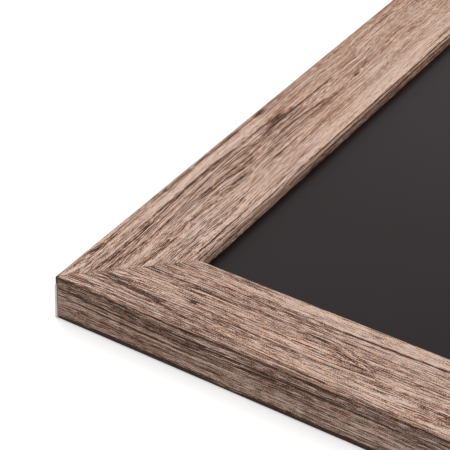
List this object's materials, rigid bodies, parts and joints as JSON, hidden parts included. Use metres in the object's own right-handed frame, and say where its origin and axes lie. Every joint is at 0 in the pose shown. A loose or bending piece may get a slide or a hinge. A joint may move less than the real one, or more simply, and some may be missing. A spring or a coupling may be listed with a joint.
{
  "type": "framed chalkboard",
  "caption": "Framed wall chalkboard with a mitred wood-grain moulding, a recessed black writing panel and swinging wire loops on its back to hang it either way round.",
  "frame": {"origin": "centre of the back plane of the frame, on the surface that the board lies on", "axes": "+X along the long side, to the right of a reader; +Y to the top of the board when it hangs landscape; +Z out of the writing face"},
  "size_m": [0.6, 0.3996, 0.02],
  "materials": {
    "decor_foil_moulding": "embossed wood-grain decor foil, satin, over a fibreboard core",
    "chalk_lacquer": "satin black chalk lacquer on fibreboard",
    "corrugated_card": "plain brown corrugated board",
    "hardboard": "bare hardboard",
    "zinc_plated_steel": "zinc plate on stamped strip",
    "nickel_plated_wire": "bright nickel plate on drawn wire",
    "steel_rivet": "plain steel rivet, upset at the tail"
  },
  "bodies": {
    "board": {"bottom_rail": "decor_foil_moulding", "right_stile": "decor_foil_moulding", "top_rail": "decor_foil_moulding", "left_stile": "decor_foil_moulding", "writing_panel": "chalk_lacquer", "filler_sheet": "corrugated_card", "backing_board": "hardboard", "bottom_flexible_point_1": "zinc_plated_steel", "bottom_flexible_point_2": "zinc_plated_steel", "bottom_flexible_point_3": "zinc_plated_steel", "bottom_flexible_point_4": "zinc_plated_steel", "right_flexible_point_1": "zinc_plated_steel", "right_flexible_point_2": "zinc_plated_steel", "top_flexible_point_1": "zinc_plated_steel", "top_flexible_point_2": "zinc_plated_steel", "top_flexible_point_3": "zinc_plated_steel", "top_flexible_point_4": "zinc_plated_steel", "left_flexible_point_1": "zinc_plated_steel", "left_flexible_point_2": "zinc_plated_steel", "bottom_left_v_nail_outer": "zinc_plated_steel", "bottom_left_v_nail_inner": "zinc_plated_steel", "bottom_right_v_nail_outer": "zinc_plated_steel", "bottom_right_v_nail_inner": "zinc_plated_steel", "top_right_v_nail_outer": "zinc_plated_steel", "top_right_v_nail_inner": "zinc_plated_steel", "top_left_v_nail_outer": "zinc_plated_steel", "top_left_v_nail_inner": "zinc_plated_steel", "top_right_hanger_plate": "zinc_plated_steel", "top_left_hanger_plate": "zinc_plated_steel", "left_upper_hanger_plate": "zinc_plated_steel", "left_lower_hanger_plate": "zinc_plated_steel", "top_right_rivet_1": "steel_rivet", "top_right_rivet_2": "steel_rivet", "top_left_rivet_1": "steel_rivet", "top_left_rivet_2": "steel_rivet", "left_upper_rivet_1": "steel_rivet", "left_upper_rivet_2": "steel_rivet", "left_lower_rivet_1": "steel_rivet", "left_lower_rivet_2": "steel_rivet"},
    "top_right_loop": {"top_right_hanging_loop": "nickel_plated_wire"},
    "top_left_loop": {"top_left_hanging_loop": "nickel_plated_wire"},
    "left_upper_loop": {"left_upper_hanging_loop": "nickel_plated_wire"},
    "left_lower_loop": {"left_lower_hanging_loop": "nickel_plated_wire"}
  },
  "joints": [
    {"name": "top_right_loop_swing", "type": "hinge", "parent": "board", "child": "top_right_loop", "pos_m": [0.17, 0.1417, 0.00445], "axis": [-1, 0, 0], "range_deg": [-16, 165]},
    {"name": "top_left_loop_swing", "type": "hinge", "parent": "board", "child": "top_left_loop", "pos_m": [-0.17, 0.1417, 0.00445], "axis": [-1, 0, 0], "range_deg": [-16, 165]},
    {"name": "left_upper_loop_swing", "type": "hinge", "parent": "board", "child": "left_upper_loop", "pos_m": [-0.2425, 0.09, 0.00445], "axis": [0, -1, 0], "range_deg": [-16, 165]},
    {"name": "left_lower_loop_swing", "type": "hinge", "parent": "board", "child": "left_lower_loop", "pos_m": [-0.2425, -0.09, 0.00445], "axis": [0, -1, 0], "range_deg": [-16, 165]}
  ]
}
